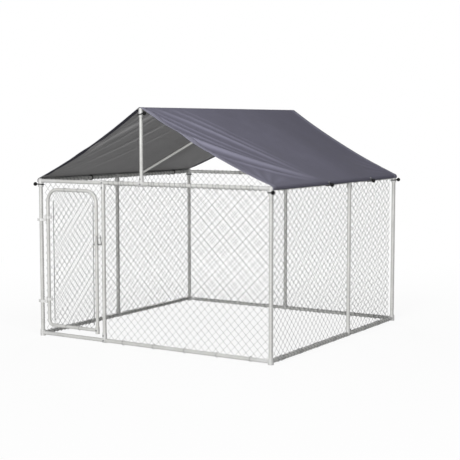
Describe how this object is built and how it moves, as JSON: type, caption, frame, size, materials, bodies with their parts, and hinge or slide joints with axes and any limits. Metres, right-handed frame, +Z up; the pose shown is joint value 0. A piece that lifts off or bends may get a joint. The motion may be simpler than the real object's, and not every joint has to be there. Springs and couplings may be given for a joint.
{
  "type": "outdoor dog kennel run",
  "caption": "Square outdoor kennel run of galvanised tube with chain link walls, a hinged gate with a fork latch and a ridged fabric roof cover.",
  "frame": {"origin": "on the ground, in the middle of the run", "axes": "+Z up, +X to the right along the front wall seen from outside, +Y from the front wall to the back wall; the gate is in the front wall, on the left"},
  "size_m": [2.091, 2.0584, 1.7],
  "materials": {
    "galvanised_tube": "galvanised steel tube, satin",
    "galvanised_fittings": "galvanised pressed fittings, satin",
    "galvanised_wire": "galvanised wire, satin",
    "dark_fasteners": "dull zinc bolts, nuts, screws and latch rod",
    "cover_fabric": "woven coated cloth, matt grey",
    "bungee_cord": "black elastic cord",
    "ball_plastic": "black moulded ball",
    "eyelet_metal": "pressed metal ring"
  },
  "bodies": {
    "frame": {"bottom_corner_front_left": "galvanised_fittings", "bottom_corner_front_right": "galvanised_fittings", "bottom_corner_back_right": "galvanised_fittings", "bottom_corner_back_left": "galvanised_fittings", "top_corner_front_left": "galvanised_fittings", "top_corner_front_right": "galvanised_fittings", "top_corner_back_right": "galvanised_fittings", "top_corner_back_left": "galvanised_fittings", "corner_post_front_left": "galvanised_tube", "corner_post_front_right": "galvanised_tube", "corner_post_back_right": "galvanised_tube", "corner_post_back_left": "galvanised_tube", "bottom_rail_front": "galvanised_tube", "bottom_rail_right": "galvanised_tube", "bottom_rail_back": "galvanised_tube", "bottom_rail_left": "galvanised_tube", "top_rail_front": "galvanised_tube", "top_rail_right": "galvanised_tube", "top_rail_back": "galvanised_tube", "top_rail_left": "galvanised_tube", "door_post": "galvanised_tube", "middle_post_right": "galvanised_tube", "middle_post_back": "galvanised_tube", "middle_post_left": "galvanised_tube", "king_post_front": "galvanised_tube", "king_post_back": "galvanised_tube", "ridge_elbow_front": "galvanised_fittings", "ridge_elbow_back": "galvanised_fittings", "ridge_tube": "galvanised_tube", "rafter_right": "galvanised_tube", "rafter_left": "galvanised_tube", "post_tees": "galvanised_fittings", "king_tees": "galvanised_fittings", "tee_screws": "dark_fasteners", "front_netting": "galvanised_wire", "right_netting": "galvanised_wire", "back_netting": "galvanised_wire", "left_netting": "galvanised_wire", "wall_ties": "galvanised_wire", "roof_cover": "cover_fabric", "eave_band_right": "cover_fabric", "eave_band_left": "cover_fabric", "eyelets": "eyelet_metal", "bungee_loops": "bungee_cord", "bungee_balls": "ball_plastic", "hinge_post_band_lower": "galvanised_fittings", "hinge_post_band_upper": "galvanised_fittings", "hinge_post_bolts": "dark_fasteners"},
    "gate": {"gate_frame_hinge_side": "galvanised_tube", "gate_frame_latch_side": "galvanised_tube", "gate_netting": "galvanised_wire", "gate_tension_bars": "galvanised_tube", "gate_ties": "galvanised_wire", "gate_corner_bolt": "dark_fasteners", "hinge_gate_band_lower": "galvanised_fittings", "hinge_gate_band_upper": "galvanised_fittings", "hinge_gate_bolts": "dark_fasteners", "latch_clamp": "galvanised_fittings", "latch_clamp_bolt": "dark_fasteners"},
    "latch": {"latch_fork": "dark_fasteners"}
  },
  "joints": [
    {"name": "gate_hinge", "type": "hinge", "parent": "frame", "child": "gate", "pos_m": [-0.945, -0.986, 0.6], "axis": [0, 0, -1], "range_deg": [0, 110]},
    {"name": "latch_lower", "type": "hinge", "parent": "gate", "child": "latch", "pos_m": [-0.438, -0.986, 0.717], "axis": [0, 1, 0], "range_deg": [0, 100]}
  ]
}
